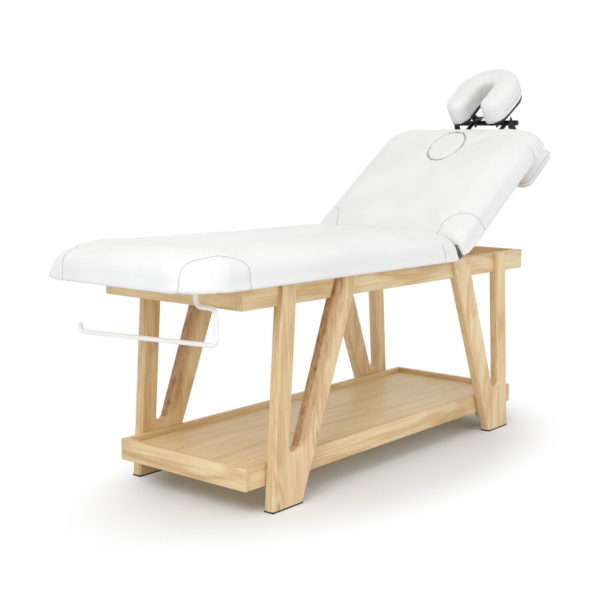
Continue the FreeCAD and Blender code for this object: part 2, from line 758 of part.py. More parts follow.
def make_cradle():
    plate_high = cradle_plate_thick - cradle_plate_drop
    plate = horseshoe(cradle_plate_margin, -cradle_plate_drop, plate_high)
    shapes["cradle_plate"] = raised(plate)
    cushion_top = plate_high + cradle_cushion_thick
    cushion = horseshoe(0, plate_high, cushion_top)
    top = [edge for edge in cushion.Edges if edge.BoundBox.ZMin > cushion_top - overrun]
    cushion = cushion.makeFillet(cradle_top_round, top)
    low = [edge for edge in cushion.Edges if edge.BoundBox.ZMax < plate_high + overrun]
    cushion = cushion.makeFillet(cradle_low_round, low)
    shapes["cradle_cushion"] = raised(cushion)
    pin_u, pin_v = cradle_pivot_u, -cradle_pivot_drop
    lowers = []
    uppers = []
    for side_y in (near, far):
        y0 = bracket_y
        y1 = bracket_y + bracket_thick
        lower = plate_xz(
            (
                (crossbar_u - bracket_half, -rod_drop),
                (crossbar_u + bracket_half, -rod_drop),
                (pin_u + bracket_eye, pin_v),
                (pin_u - bracket_eye, pin_v),
            ),
            y0,
            y1,
        )
        lower = lower.fuse(bar_y(bracket_eye, pin_u, pin_v, y0, y1)).removeSplitter()
        lower = lower.cut(bar_y(cradle_pin_radius + cradle_fit, pin_u, pin_v, y0 - overrun, y1 + overrun))
        lower = lower.cut(bar_y(crossbar_radius, crossbar_u, -rod_drop, y0 - overrun, y1 + overrun))
        y0 = y1 + bracket_gap
        y1 = y0 + bracket_thick
        upper = plate_xz(
            (
                (pin_u - bracket_eye, pin_v),
                (pin_u + bracket_eye, pin_v),
                (pin_u + bracket_half, -cradle_plate_drop),
                (pin_u - bracket_half, -cradle_plate_drop),
            ),
            y0,
            y1,
        )
        upper = upper.fuse(bar_y(bracket_eye, pin_u, pin_v, y0, y1)).removeSplitter()
        upper = upper.cut(bar_y(cradle_pin_radius + cradle_fit, pin_u, pin_v, y0 - overrun, y1 + overrun))
        lowers.append(raised(on_side(lower, head, side_y)))
        uppers.append(raised(on_side(upper, head, side_y)))
    shapes["cradle_lower_brackets"] = group(lowers)
    shapes["cradle_upper_brackets"] = group(uppers)
    end = bracket_y + 2 * bracket_thick + 2 * bracket_gap
    pin = bar_y(cradle_pin_radius, pin_u, pin_v, -end - cam_thick, end)
    pin = pin.fuse(bar_y(cradle_pin_radius + cradle_pin_radius / 2, pin_u, pin_v, end, end + bracket_thick))
    shapes["cradle_pin"] = raised(pin)
    cam = bar_y(cam_radius, pin_u, pin_v, -end, -end - cam_thick)
    arm = box(pin_u, pin_u + cam_arm_length, -end, -end - cam_thick,
              pin_v - cam_arm_half, pin_v + cam_arm_half)
    cam = cam.fuse(arm).removeSplitter()
    cam = cam.cut(bar_y(cradle_pin_radius + cradle_fit, pin_u, pin_v,
                        -end - cam_thick - overrun, -end + overrun))
    shapes["cradle_cam_lever"] = raised(cam)


def make_arm_shelf():
    shelf_top = -shelf_drop
    low = shelf_top - shelf_thick
    wire = rounded_rectangle(shelf_start, shelf_start + shelf_depth, shelf_half_width,
                             shelf_corner, shelf_corner, low)
    pad = Part.Face(wire).extrude(Vector(0, 0, shelf_thick))
    rims = [edge for edge in pad.Edges
            if edge.BoundBox.ZMin > shelf_top - overrun or edge.BoundBox.ZMax < low + overrun]
    shapes["arm_shelf_pad"] = raised(pad.makeFillet(shelf_round, rims))
    fronts = []
    rears = []
    for side_y in (near, far):
        front = box(strap_u - strap_width / 2, strap_u + strap_width / 2, strap_y, strap_y + strap_thick,
                    shelf_top + strap_gap, strap_top)
        fronts.append(raised(on_side(front, head, side_y)))
        rear_u = shelf_start - strap_gap
        rear = box(rear_u - strap_thick, rear_u, strap_y - strap_width, strap_y,
                   shelf_top - strap_hold, board_low - back_batten_height - strap_gap)
        rears.append(raised(on_side(rear, head, side_y)))
    shapes["front_straps"] = group(fronts)
    shapes["rear_straps"] = group(rears)


# Round bar along a route of points, each inner corner an arc of the same bend
def bent_bar(points, radius, bend):
    solids = []
    start = points[0]
    for before, corner, after in zip(points[:-2], points[1:-1], points[2:]):
        back_way = (before - corner).normalize()
        on_way = (after - corner).normalize()
        turn = math.pi - back_way.getAngle(on_way)
        first = corner + back_way * (bend * math.tan(turn / 2))
        last = corner + on_way * (bend * math.tan(turn / 2))
        centre = corner + (back_way + on_way).normalize() * (bend / math.cos(turn / 2))
        run = first - start
        solids.append(Part.makeCylinder(radius, run.Length, start, run))
        section = Part.Face(Part.Wire(Part.makeCircle(radius, first, back_way)))
        solids.append(section.revolve(centre, on_way.cross(back_way), math.degrees(turn)))
        start = last
    run = points[-1] - start
    solids.append(Part.makeCylinder(radius, run.Length, start, run))
    return fuse_all(solids)


def make_roll_holder():
    board_under = hinge_z + board_low
    route = [
        Vector(0, -bar_stem_y, board_under - holder_wall),
        Vector(0, -bar_stem_y, bar_shoulder_z),
        Vector(0, -bar_near_y, bar_shoulder_z),
        Vector(0, -bar_near_y, bar_low_z),
        Vector(0, bar_far_y, bar_low_z - bar_far_drop),
        Vector(0, bar_far_y, bar_low_z - bar_far_drop + bar_upturn),
    ]
    bar = bent_bar(route, bar_radius, bar_bend)
    bar.translate(Vector(bar_x, 0, 0))
    shapes["roll_bar"] = bar
    low = board_under - holder_height
    block = box(bar_x - holder_half, bar_x + holder_half, -bar_stem_y - holder_half,
                -bar_stem_y + holder_half, low, board_under)
    sides = [edge for edge in block.Edges if edge.BoundBox.ZLength > holder_height / 2]
    block = block.makeFillet(holder_wall, sides)
    bore = bar_z(bar_radius + bar_fit, bar_x, -bar_stem_y, low - overrun, board_under - holder_wall)
    shapes["roll_bar_socket"] = block.cut(bore)


def main():
    make_apron()
    make_legs()
    make_tray()
    make_seat()
    make_back()
    make_hinges()
    make_stays()
    make_outrigger()
    make_cradle()
    make_arm_shelf()
    make_roll_holder()
    whole = Part.makeCompound(list(shapes.values())).optimalBoundingBox(False)
    shift = Vector(-(whole.XMin + whole.XMax) / 2, 0, 0)
    os.makedirs("parts", exist_ok=True)
    for name, shape in shapes.items():
        shape.translate(shift)
        shape.exportStep("parts/" + name + ".step")
        print(name, len(shape.Solids), "solids", "valid" if shape.isValid() else "NOT VALID",
              round(shape.Volume / 1000), "cm3")
    print("bounds", whole)
    print("base centre is moved along X by", round(shift.x, 3))
    return shift


origin_shift = main()
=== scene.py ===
"""Looks of the treatment bed: wood, upholstery, cradle, arm shelf, light and camera."""
import json
import math

import bmesh
import bpy
from mathutils import Matrix, Vector
from mathutils.bvhtree import BVHTree
from mathutils.kdtree import KDTree


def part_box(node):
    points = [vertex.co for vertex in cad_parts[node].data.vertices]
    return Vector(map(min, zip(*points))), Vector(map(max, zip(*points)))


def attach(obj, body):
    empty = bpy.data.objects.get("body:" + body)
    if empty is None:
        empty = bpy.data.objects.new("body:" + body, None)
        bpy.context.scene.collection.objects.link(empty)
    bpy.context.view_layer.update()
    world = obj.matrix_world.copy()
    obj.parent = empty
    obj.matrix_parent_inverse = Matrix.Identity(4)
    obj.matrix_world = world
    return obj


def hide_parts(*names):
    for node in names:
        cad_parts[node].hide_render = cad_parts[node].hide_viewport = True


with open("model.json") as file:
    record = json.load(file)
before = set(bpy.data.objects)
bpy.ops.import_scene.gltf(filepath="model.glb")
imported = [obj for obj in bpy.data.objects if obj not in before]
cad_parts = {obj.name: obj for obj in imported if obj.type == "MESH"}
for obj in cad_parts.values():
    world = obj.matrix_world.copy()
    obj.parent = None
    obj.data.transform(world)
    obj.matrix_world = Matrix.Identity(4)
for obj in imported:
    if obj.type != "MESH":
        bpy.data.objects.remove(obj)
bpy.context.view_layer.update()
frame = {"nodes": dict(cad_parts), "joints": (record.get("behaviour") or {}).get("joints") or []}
scene = bpy.context.scene
scene.view_settings.view_transform = "Standard"

# The backrest lies tilted at rest; pieces on it are placed along it (u), across (y) and up from it (v)
back_joint = [joint for joint in frame["joints"] if joint["name"] == "back_tilt"][0]
pivot = Vector(back_joint["pos_m"])
tilt = math.radians(-back_joint["range_deg"][0])


def on_back(u, y, v):
    return Vector((
        pivot.x + u * math.cos(tilt) - v * math.sin(tilt),
        y,
        pivot.z + u * math.sin(tilt) + v * math.cos(tilt),
    ))


def from_back(point):
    reach = point - pivot
    u = reach.x * math.cos(tilt) + reach.z * math.sin(tilt)
    v = reach.z * math.cos(tilt) - reach.x * math.sin(tilt)
    return u, point.y, v


def paint_value(red, green, blue):
    """A screen colour, 0 to 255, as the linear colour that shaders take."""
    linear = []
    for value in (red, green, blue):
        share = value / 255
        linear.append(share / 12.92 if share <= 0.04045 else ((share + 0.055) / 1.055) ** 2.4)
    return (*linear, 1.0)


# Small helpers for modelling by operator
def select_only(piece):
    bpy.ops.object.select_all(action="DESELECT")
    piece.select_set(True)
    bpy.context.view_layer.objects.active = piece


def apply_all(piece):
    select_only(piece)
    for modifier in list(piece.modifiers):
        bpy.ops.object.modifier_apply(modifier=modifier.name)


def settle(piece):
    select_only(piece)
    bpy.ops.object.transform_apply(location=True, rotation=True, scale=True)


def smooth(piece, degrees):
    select_only(piece)
    bpy.ops.object.shade_smooth_by_angle(angle=math.radians(degrees))


def wear(piece, material):
    piece.data.materials.clear()
    piece.data.materials.append(material)


def copy_of_node(node, name):
    """A welded copy of a CAD node's mesh, as a start for a soft piece."""
    piece = bpy.data.objects.new(name, frame["nodes"][node].data.copy())
    scene.collection.objects.link(piece)
    shell = bmesh.new()
    shell.from_mesh(piece.data)
    bmesh.ops.remove_doubles(shell, verts=shell.verts, dist=0.00005)
    shell.to_mesh(piece.data)
    shell.free()
    return piece


# Shader building
class Sheet:
    """One node tree being filled, for a material or a group."""

    def __init__(self, tree):
        self.tree = tree
        tree.nodes.clear()

    def add(self, kind, inputs=(), **settings):
        node = self.tree.nodes.new(kind)
        for key, value in settings.items():
            setattr(node, key, value)
        for key, value in dict(inputs).items():
            if isinstance(value, bpy.types.NodeSocket):
                self.tree.links.new(value, node.inputs[key])
            else:
                node.inputs[key].default_value = value
        return node

    def math(self, operation, first, second=0.0, clamp=False):
        node = self.add("ShaderNodeMath", {0: first, 1: second}, operation=operation, use_clamp=clamp)
        return node.outputs[0]

    def mix(self, share, first, second):
        node = self.add("ShaderNodeMix", data_type="RGBA")
        for index, value in ((0, share), (6, first), (7, second)):
            if isinstance(value, bpy.types.NodeSocket):
                self.tree.links.new(value, node.inputs[index])
            else:
                node.inputs[index].default_value = value
        return node.outputs[2]

    def ramp(self, value, low_stop, high_stop):
        node = self.add("ShaderNodeMapRange", {"Value": value, "From Min": low_stop, "From Max": high_stop})
        return node.outputs[0]


def new_group(name, inputs, outputs):
    tree = bpy.data.node_groups.new(name, "ShaderNodeTree")
    for label, kind, value in inputs:
        socket = tree.interface.new_socket(name=label, in_out="INPUT", socket_type=kind)
        if value is not None:
            socket.default_value = value
    for label, kind in outputs:
        tree.interface.new_socket(name=label, in_out="OUTPUT", socket_type=kind)
    page = Sheet(tree)
    source = page.add("NodeGroupInput")
    target = page.add("NodeGroupOutput")
    return tree, page, source.outputs, target.inputs


# Long grain: rings, fibres and pores that run along X
grain, page, given, out = new_group(
    "long grain",
    [("Place", "NodeSocketVector", None), ("Light Wood", "NodeSocketColor", (0.8, 0.6, 0.4, 1)),
     ("Late Wood", "NodeSocketColor", (0.6, 0.4, 0.2, 1)), ("Ring Strength", "NodeSocketFloat", 0.5),
     ("Knots", "NodeSocketFloat", 0.0)],
    [("Color", "NodeSocketColor"), ("Roughness", "NodeSocketFloat"), ("Height", "NodeSocketFloat")],
)
drift = page.add("ShaderNodeTexNoise", {"Vector": page.add("ShaderNodeMapping", {
    "Vector": given["Place"], "Scale": (1.1, 5.0, 5.0)}).outputs[0], "Scale": 1.6, "Detail": 2.0})
knot_cells = page.add("ShaderNodeTexVoronoi", {"Vector": page.add("ShaderNodeMapping", {
    "Vector": given["Place"], "Scale": (3.1, 13.0, 13.0)}).outputs[0], "Scale": 1.0, "Randomness": 1.0})
knot_pull = page.math("MULTIPLY", page.ramp(knot_cells.outputs["Distance"], 0.42, 0.05), given["Knots"])
pulled = page.math("MULTIPLY", knot_pull, 0.016)
bent = page.add("ShaderNodeVectorMath", {0: given["Place"], 1: page.add("ShaderNodeVectorMath", {
    0: drift.outputs["Color"], "Scale": 0.032}, operation="SCALE").outputs[0]}, operation="ADD")
bent = page.add("ShaderNodeVectorMath", {0: bent.outputs[0], 1: page.add("ShaderNodeCombineXYZ", {
    "Y": pulled, "Z": pulled}).outputs[0]}, operation="ADD")
rings = page.add("ShaderNodeTexWave", {"Vector": page.add("ShaderNodeMapping", {
    "Vector": bent.outputs[0], "Scale": (0.12, 1.0, 0.55)}).outputs[0], "Scale": 44.0, "Distortion": 1.5,
    "Detail": 2.0, "Detail Scale": 1.5}, wave_type="BANDS", bands_direction="Y", wave_profile="SIN")
fibres = page.add("ShaderNodeTexNoise", {"Vector": page.add("ShaderNodeMapping", {
    "Vector": bent.outputs[0], "Scale": (5.0, 170.0, 170.0)}).outputs[0], "Scale": 1.0, "Detail": 4.0,
    "Roughness": 0.6})
pores = page.add("ShaderNodeTexVoronoi", {"Vector": page.add("ShaderNodeMapping", {
    "Vector": bent.outputs[0], "Scale": (34.0, 620.0, 620.0)}).outputs[0], "Scale": 1.0})
cloud = page.add("ShaderNodeTexNoise", {"Vector": page.add("ShaderNodeMapping", {
    "Vector": given["Place"], "Scale": (1.5, 6.0, 6.0)}).outputs[0], "Scale": 1.0, "Detail": 3.0})
ring_share = page.math("POWER", rings.outputs["Fac"], 2.2)
ring_share = page.math("MULTIPLY", ring_share, given["Ring Strength"])
fibre_share = page.math("MULTIPLY", page.ramp(fibres.outputs["Fac"], 0.36, 0.68), 0.42)
cloud_share = page.math("MULTIPLY", page.ramp(cloud.outputs["Fac"], 0.35, 0.7), 0.26)
darker = page.math("ADD", page.math("ADD", ring_share, fibre_share), cloud_share, clamp=True)
pore_share = page.ramp(pores.outputs["Distance"], 0.26, 0.10)
streaks = page.add("ShaderNodeTexNoise", {"Vector": page.add("ShaderNodeMapping", {
    "Vector": bent.outputs[0], "Scale": (1.6, 42.0, 42.0)}).outputs[0], "Scale": 1.0, "Detail": 3.0})
streak_share = page.math("MULTIPLY", page.ramp(streaks.outputs["Fac"], 0.58, 0.74), 0.3)
body_color = page.mix(darker, given["Light Wood"], given["Late Wood"])
body_color = page.mix(streak_share, body_color, (0.42, 0.22, 0.085, 1))
pored = page.mix(page.math("MULTIPLY", pore_share, 0.22), body_color, (0.28, 0.15, 0.06, 1))
knot_heart = page.math("MULTIPLY", page.ramp(knot_cells.outputs["Distance"], 0.10, 0.03), given["Knots"])
knotted = page.mix(page.math("MULTIPLY", knot_heart, 0.75), pored, (0.16, 0.07, 0.025, 1))
page.tree.links.new(knotted, out["Color"])
page.tree.links.new(page.math("ADD", page.math("MULTIPLY", darker, 0.16), 0.40), out["Roughness"])
relief = page.math("SUBTRACT", page.math("MULTIPLY", fibres.outputs["Fac"], 0.5),
                   page.math("MULTIPLY", pore_share, 0.6))
page.tree.links.new(relief, out["Height"])

# Soft tone: a slow drift in tone and shine that breaks up a plain surface
tone, page, given, out = new_group(
    "soft tone",
    [("Place", "NodeSocketVector", None), ("Base", "NodeSocketColor", (0.8, 0.8, 0.8, 1)),
     ("Worn", "NodeSocketColor", (0.7, 0.7, 0.7, 1)), ("Patch Size", "NodeSocketFloat", 6.0),
     ("Shine Low", "NodeSocketFloat", 0.4), ("Shine High", "NodeSocketFloat", 0.5)],
    [("Color", "NodeSocketColor"), ("Roughness", "NodeSocketFloat")],
)
patches = page.add("ShaderNodeTexNoise", {
    "Vector": given["Place"], "Scale": given["Patch Size"], "Detail": 4.0})
share = page.ramp(patches.outputs["Fac"], 0.32, 0.70)
page.tree.links.new(page.mix(share, given["Base"], given["Worn"]), out["Color"])
shine = page.add("ShaderNodeMapRange", {"Value": patches.outputs["Fac"], "From Min": 0.3, "From Max": 0.7,
                                        "To Min": given["Shine Low"], "To Max": given["Shine High"]})
page.tree.links.new(shine.outputs[0], out["Roughness"])

# Pebble: the fine cells and creases of coated upholstery, or the grain of moulded plastic
pebble, page, given, out = new_group(
    "pebble",
    [("Place", "NodeSocketVector", None), ("Cells", "NodeSocketFloat", 420.0),
     ("Creases", "NodeSocketFloat", 0.3)],
    [("Height", "NodeSocketFloat")],
)
cells = page.add("ShaderNodeTexVoronoi", {"Vector": given["Place"], "Scale": given["Cells"]}, feature="F1")
crease = page.add("ShaderNodeTexNoise", {
    "Vector": given["Place"], "Scale": 22.0, "Detail": 5.0, "Distortion": 0.6})
mixed = page.math("ADD", page.math("MULTIPLY", cells.outputs["Distance"], 0.5),
                  page.math("MULTIPLY", crease.outputs["Fac"], given["Creases"]))
page.tree.links.new(mixed, out["Height"])


def group_in(page, tree, **inputs):
    node = page.add("ShaderNodeGroup", node_tree=tree)
    for key, value in inputs.items():
        socket = node.inputs[key.replace("_", " ")]
        if isinstance(value, bpy.types.NodeSocket):
            page.tree.links.new(value, socket)
        else:
            socket.default_value = value
    return node.outputs


def start_material(name):
    material = bpy.data.materials.new(name)
    material.use_nodes = True
    page = Sheet(material.node_tree)
    shader = page.add("ShaderNodeBsdfPrincipled")
    target = page.add("ShaderNodeOutputMaterial")
    page.tree.links.new(shader.outputs[0], target.inputs[0])
    place = page.add("ShaderNodeTexCoord").outputs["Object"]
    return material, page, shader, place


def relief_on(page, shader, height, distance, strength=1.0):
    bump = page.add("ShaderNodeBump", {"Height": height, "Distance": distance, "Strength": strength})
    page.tree.links.new(bump.outputs[0], shader.inputs["Normal"])


turns = {"x": (0, 0, 0), "y": (0, 0, math.radians(90)), "z": (0, math.radians(90), 0)}


def brace_face(node):
    """The sawn face of a foot brace: its way out, how far off it lies and how low it reaches."""
    mesh = frame["nodes"][node].data
    sawn = [face for face in mesh.polygons if face.normal.x < -0.9 and 0.15 < face.normal.z < 0.4]
    widest = max(sawn, key=lambda face: face.area)
    lowest = min(mesh.vertices[index].co.z for face in sawn for index in face.vertices)
    return widest.normal.copy(), widest.normal.dot(widest.center), lowest


def wood(name, along, offset, light=(243, 221, 177), late=(204, 162, 105), rings=0.40, lean=0.0,
         knots=0.0, stretch=(1.0, 1.0, 1.0), heart=None):
    """Lacquered light wood with its grain along one way of the board, brown along a brace's sawn face."""
    material, page, shader, place = start_material(name)
    turn = Vector(turns[along])
    turn.y += math.radians(lean)
    laid = page.add("ShaderNodeMapping", {"Vector": place, "Rotation": turn, "Location": offset,
                                          "Scale": stretch}).outputs[0]
    made = group_in(page, grain, Place=laid, Light_Wood=paint_value(*light), Late_Wood=paint_value(*late),
                    Ring_Strength=rings, Knots=knots)
    color = made["Color"]
    if heart:
        out_way, far_out, lowest = heart
        facing = page.add("ShaderNodeSeparateXYZ", {
            0: page.add("ShaderNodeTexCoord").outputs["Normal"]}).outputs
        height = page.add("ShaderNodeSeparateXYZ", {0: place}).outputs["Z"]
        on_face = page.math("MULTIPLY", page.ramp(facing["X"], -0.70, -0.85),
                            page.ramp(facing["Z"], 0.18, 0.28))
        along_face = page.add("ShaderNodeVectorMath", {0: place, 1: out_way}, operation="DOT_PRODUCT")
        depth = page.math("SUBTRACT", far_out, along_face.outputs["Value"])
        blotch = page.add("ShaderNodeTexNoise", {"Vector": page.add("ShaderNodeMapping", {
            "Vector": laid, "Scale": (0.3, 1.0, 1.0)}).outputs[0], "Scale": 62.0, "Detail": 5.0,
            "Roughness": 0.7})
        # A ragged front runs a little way in from the face, on the brace's sides
        ragged = page.math("ADD", depth, page.math("MULTIPLY", blotch.outputs["Fac"], -0.040))
        front = page.math("MULTIPLY", page.ramp(ragged, 0.020, -0.006), page.ramp(depth, -0.003, 0.0))
        front = page.math("MULTIPLY", front, page.ramp(height, lowest - 0.01, lowest + 0.03))
        sawn = page.math("MULTIPLY", on_face, page.ramp(blotch.outputs["Fac"], 0.28, 0.46))
        share = page.math("MAXIMUM", page.math("MULTIPLY", sawn, 0.9), page.math("MULTIPLY", front, 0.62))
        heartwood = page.mix(page.ramp(blotch.outputs["Fac"], 0.50, 0.66), paint_value(186, 140, 94),
                             paint_value(112, 72, 44))
        color = page.mix(share, color, heartwood)
    page.tree.links.new(color, shader.inputs["Base Color"])
    page.tree.links.new(made["Roughness"], shader.inputs["Roughness"])
    shader.inputs["Coat Weight"].default_value = 0.12
    shader.inputs["Coat Roughness"].default_value = 0.3
    relief_on(page, shader, made["Height"], 0.0004, 0.5)
    return material


def coated(name, base, worn, patch, shine, cells, distance, creases=0.3, metal=0.0, sheen=0.0):
    """One finish with a slow tone drift and a fine relief: upholstery, plastic, rubber or paint."""
    material, page, shader, place = start_material(name)
    made = group_in(page, tone, Place=place, Base=paint_value(*base), Worn=paint_value(*worn),
                    Patch_Size=patch, Shine_Low=shine[0], Shine_High=shine[1])
    page.tree.links.new(made["Color"], shader.inputs["Base Color"])
    page.tree.links.new(made["Roughness"], shader.inputs["Roughness"])
    height = group_in(page, pebble, Place=place, Cells=cells, Creases=creases)["Height"]
    relief_on(page, shader, height, distance)
    shader.inputs["Metallic"].default_value = metal
    shader.inputs["Sheen Weight"].default_value = sheen
    return material


def webbing_material():
    """Woven strap, its ribs across and along the strap's own UV map."""
    material, page, shader, _ = start_material("strap webbing")
    place = page.add("ShaderNodeTexCoord").outputs["UV"]
    across = page.add("ShaderNodeTexWave", {"Vector": place, "Scale": 110.0}, bands_direction="X")
    along = page.add("ShaderNodeTexWave", {"Vector": place, "Scale": 90.0}, bands_direction="Y")
    weave = page.math("MULTIPLY", across.outputs["Fac"], along.outputs["Fac"])
    color = page.mix(weave, paint_value(18, 18, 19), paint_value(52, 52, 54))
    page.tree.links.new(color, shader.inputs["Base Color"])
    shader.inputs["Roughness"].default_value = 0.8
    relief_on(page, shader, weave, 0.0006)
    return material


white_cover = coated("white upholstery", (240, 240, 239), (232, 232, 231), 4.0, (0.36, 0.50), 520.0, 0.00022,
                     0.55, sheen=0.05)
seam_thread = coated("seam thread", (196, 196, 195), (180, 180, 179), 60.0, (0.6, 0.75), 900.0, 0.0002)
# A grey darker than the cover: painted shade for the crease along each seam's fold line
seam_fold_painted_shade = coated("seam fold painted shade", (176, 176, 175), (160, 160, 159), 30.0, (0.55, 0.7), 700.0, 0.0003)
# Dark grey of the groove ring: painted shade for the deep gap round the plug
groove_painted_shade = coated("groove painted shade", (88, 88, 88), (72, 72, 72), 30.0, (0.6, 0.75), 700.0, 0.0003)
black_mould = coated("black mould", (13, 13, 14), (22, 22, 23), 14.0, (0.45, 0.60), 1100.0, 0.0003)
black_paint = coated("black paint", (13, 13, 14), (23, 23, 24), 9.0, (0.34, 0.48), 800.0, 0.00012)
hinge_paint = coated("hinge steel", (74, 68, 60), (112, 104, 92), 30.0, (0.34, 0.5), 700.0, 0.00015,
                     metal=0.6)
zinc = coated("zinc screw", (170, 172, 176), (140, 143, 148), 40.0, (0.25, 0.42), 900.0, 0.0001, metal=1.0)
foot_rubber = coated("foot rubber", (20, 20, 21), (36, 35, 34), 20.0, (0.7, 0.86), 650.0, 0.0004)
white_paint = coated("white paint", (249, 249, 249), (242, 242, 242), 12.0, (0.34, 0.44), 300.0, 0.0001)
webbing = webbing_material()

# Boards: the straight ones are planed anew with eased edges, the others keep their CAD shape
board_ways = {
    "far_rail": "x", "near_rail": "x", "head_rail": "y", "foot_rail": "y",
    "tray_far_rim": "x", "tray_near_rim": "x", "tray_head_rim": "y", "tray_foot_rim": "y", "tray_panel": "x",
}
other_ways = {
    "cross_rails": "y", "corner_blocks": "z", "tray_cleats": "x", "seat_board": "x", "back_board": "x",
    "back_battens": "x", "head_batten": "y", "stay_blocks": "x",
    "near_foot_leg": "z", "far_foot_leg": "z", "near_head_leg": "z", "far_head_leg": "z",
}
panel_groove = 0.006  # the tray's panel lies this deep in the rims' grooves
board_edge = 0.0016


def planed_board(node, material):
    low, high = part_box(node)
    if node == "tray_panel":
        low += Vector((panel_groove, panel_groove, 0))
        high -= Vector((panel_groove, panel_groove, 0))
    bpy.ops.object.select_all(action="DESELECT")
    bpy.ops.mesh.primitive_cube_add(size=1, location=(low + high) / 2)
    board = bpy.context.object
    board.name = node + "_board"
    board.scale = high - low
    settle(board)
    bpy.ops.object.mode_set(mode="EDIT")
    bpy.ops.mesh.select_all(action="SELECT")
    bpy.ops.mesh.bevel(offset=board_edge, segments=3, affect="EDGES")
    bpy.ops.object.mode_set(mode="OBJECT")
    smooth(board, 30)
    wear(board, material)
    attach(board, "base")
    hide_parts(node)


def eased(node, material, body, edge):
    """The node's own shape with its flat faces made whole, its edges eased and its rounds smooth."""
    piece = copy_of_node(node, node + "_eased")
    select_only(piece)
    bpy.ops.object.mode_set(mode="EDIT")
    bpy.ops.mesh.select_all(action="SELECT")
    bpy.ops.mesh.dissolve_limited(angle_limit=math.radians(1.0))
    bpy.ops.object.mode_set(mode="OBJECT")
    ease = piece.modifiers.new("eased edge", "BEVEL")
    ease.width = edge
    ease.segments = 2
    ease.limit_method = "ANGLE"
    ease.angle_limit = math.radians(42)
    ease.use_clamp_overlap = True
    apply_all(piece)
    smooth(piece, 32)
    wear(piece, material)
    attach(piece, body)
    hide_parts(node)


for count, (node, way) in enumerate({**board_ways, **other_ways}.items()):
    offset = (0.37 * count, 0.131 * count, 0.073 * count)
    if node in ("tray_panel", "seat_board", "back_board"):
        finish = wood(node + " plywood", way, offset, (250, 233, 192), (218, 185, 128), 0.20,
                      stretch=(0.5, 0.34, 0.34))
    elif node.endswith("_leg"):
        finish = wood(node + " wood", way, offset, (245, 222, 178), (204, 160, 103), 0.36,
                      lean=2.0 if "foot" in node else -2.0, knots=0.7,
                      heart=brace_face(node) if "foot" in node else None)
    else:
        finish = wood(node + " wood", way, offset)
    if node in board_ways:
        planed_board(node, finish)
    elif node.endswith("_leg"):
        eased(node, finish, "base", 0.0030 if "foot" in node else 0.0055)
    else:
        wear(frame["nodes"][node], finish)

for names, finish in (
    (("foot_pads",), foot_rubber),
    (("leg_bolts", "stay_bolts", "hinge_pins", "cradle_pin"), zinc),
    (("stay_plate_near", "stay_plate_far"), hinge_paint),
    (("rod_sockets",), black_mould),
):
    for node in names:
        wear(frame["nodes"][node], finish)
for node, body, slot, finish, edge in (
    ("hinge_seat_arm_near", "base", "hinge_steel", hinge_paint, 0.0005),
    ("hinge_seat_arm_far", "base", "hinge_steel", hinge_paint, 0.0005),
    ("hinge_back_arm_near", "back", "hinge_steel", hinge_paint, 0.0005),
    ("hinge_back_arm_far", "back", "hinge_steel", hinge_paint, 0.0005),
    ("stay_knob_near", "stay_knob_near", "black_plastic", black_mould, 0.0010),
    ("stay_knob_far", "stay_knob_far", "black_plastic", black_mould, 0.0010),
    ("cradle_clamp_knob_near", "clamp_knob_near", "black_plastic", black_mould, 0.0010),
    ("cradle_clamp_knob_far", "clamp_knob_far", "black_plastic", black_mould, 0.0010),
    ("cradle_cam_lever", "cam_lever", "black_plastic", black_mould, 0.0012),
    ("cradle_plate", "cradle_top", "black_plastic", black_mould, 0.0016),
    ("cradle_rods", "cradle_frame", "black_metal", black_paint, 0.0010),
    ("cradle_crossbar", "cradle_frame", "black_metal", black_paint, 0.0010),
    ("cradle_lower_brackets", "cradle_frame", "black_metal", black_paint, 0.0006),
    ("cradle_upper_brackets", "cradle_top", "black_metal", black_paint, 0.0006),
    ("roll_bar", "roll_bar", "white_metal", white_paint, 0.0012),
    ("roll_bar_socket", "base", "white_plastic", white_paint, 0.0012),
):
    eased(node, finish, body, edge)


# Soft pieces: a shrunken skin is blown up by cloth pressure, held where it is stapled
cloth_frames = 20


def upholster(node, name, body, voxel, shrink, cap, held):
    piece = copy_of_node(node, name)
    skin = piece.modifiers.new("even skin", "REMESH")
    skin.mode = "VOXEL"
    skin.voxel_size = voxel
    apply_all(piece)
    start = [vertex.co.copy() for vertex in piece.data.vertices]
    stapled = [held(point) for point in start]
    for vertex, fixed in zip(piece.data.vertices, stapled):
        if not fixed:
            vertex.co -= vertex.normal * shrink
    slack = [vertex.co.copy() for vertex in piece.data.vertices]
    pins = piece.vertex_groups.new(name="stapled")
    pins.add([index for index, fixed in enumerate(stapled) if fixed], 1.0, "REPLACE")
    cloth = piece.modifiers.new("air", "CLOTH")
    cloth.settings.quality = 4
    cloth.settings.mass = 0.3
    cloth.settings.tension_stiffness = 12
    cloth.settings.compression_stiffness = 12
    cloth.settings.bending_stiffness = 2
    cloth.settings.use_pressure = True
    cloth.settings.uniform_pressure_force = 4
    cloth.settings.effector_weights.gravity = 0
    cloth.settings.vertex_group_mass = "stapled"
    cloth.collision_settings.use_collision = False
    cloth.point_cache.frame_end = cloth_frames
    for step in range(1, cloth_frames + 1):
        scene.frame_set(step)
    apply_all(piece)
    scene.frame_set(1)
    for vertex, before, fixed in zip(piece.data.vertices, slack, stapled):
        move = vertex.co - before
        length = move.length
        if fixed or length < 1e-7:
            vertex.co = before
        else:
            vertex.co = before + move * (cap * math.tanh(length / cap) / length)
    round_off = piece.modifiers.new("soft", "SUBSURF")
    round_off.levels = round_off.render_levels = 1
    apply_all(piece)
    select_only(piece)
    bpy.ops.object.shade_smooth()
    wear(piece, white_cover)
    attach(piece, body)
    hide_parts(node)
    return piece


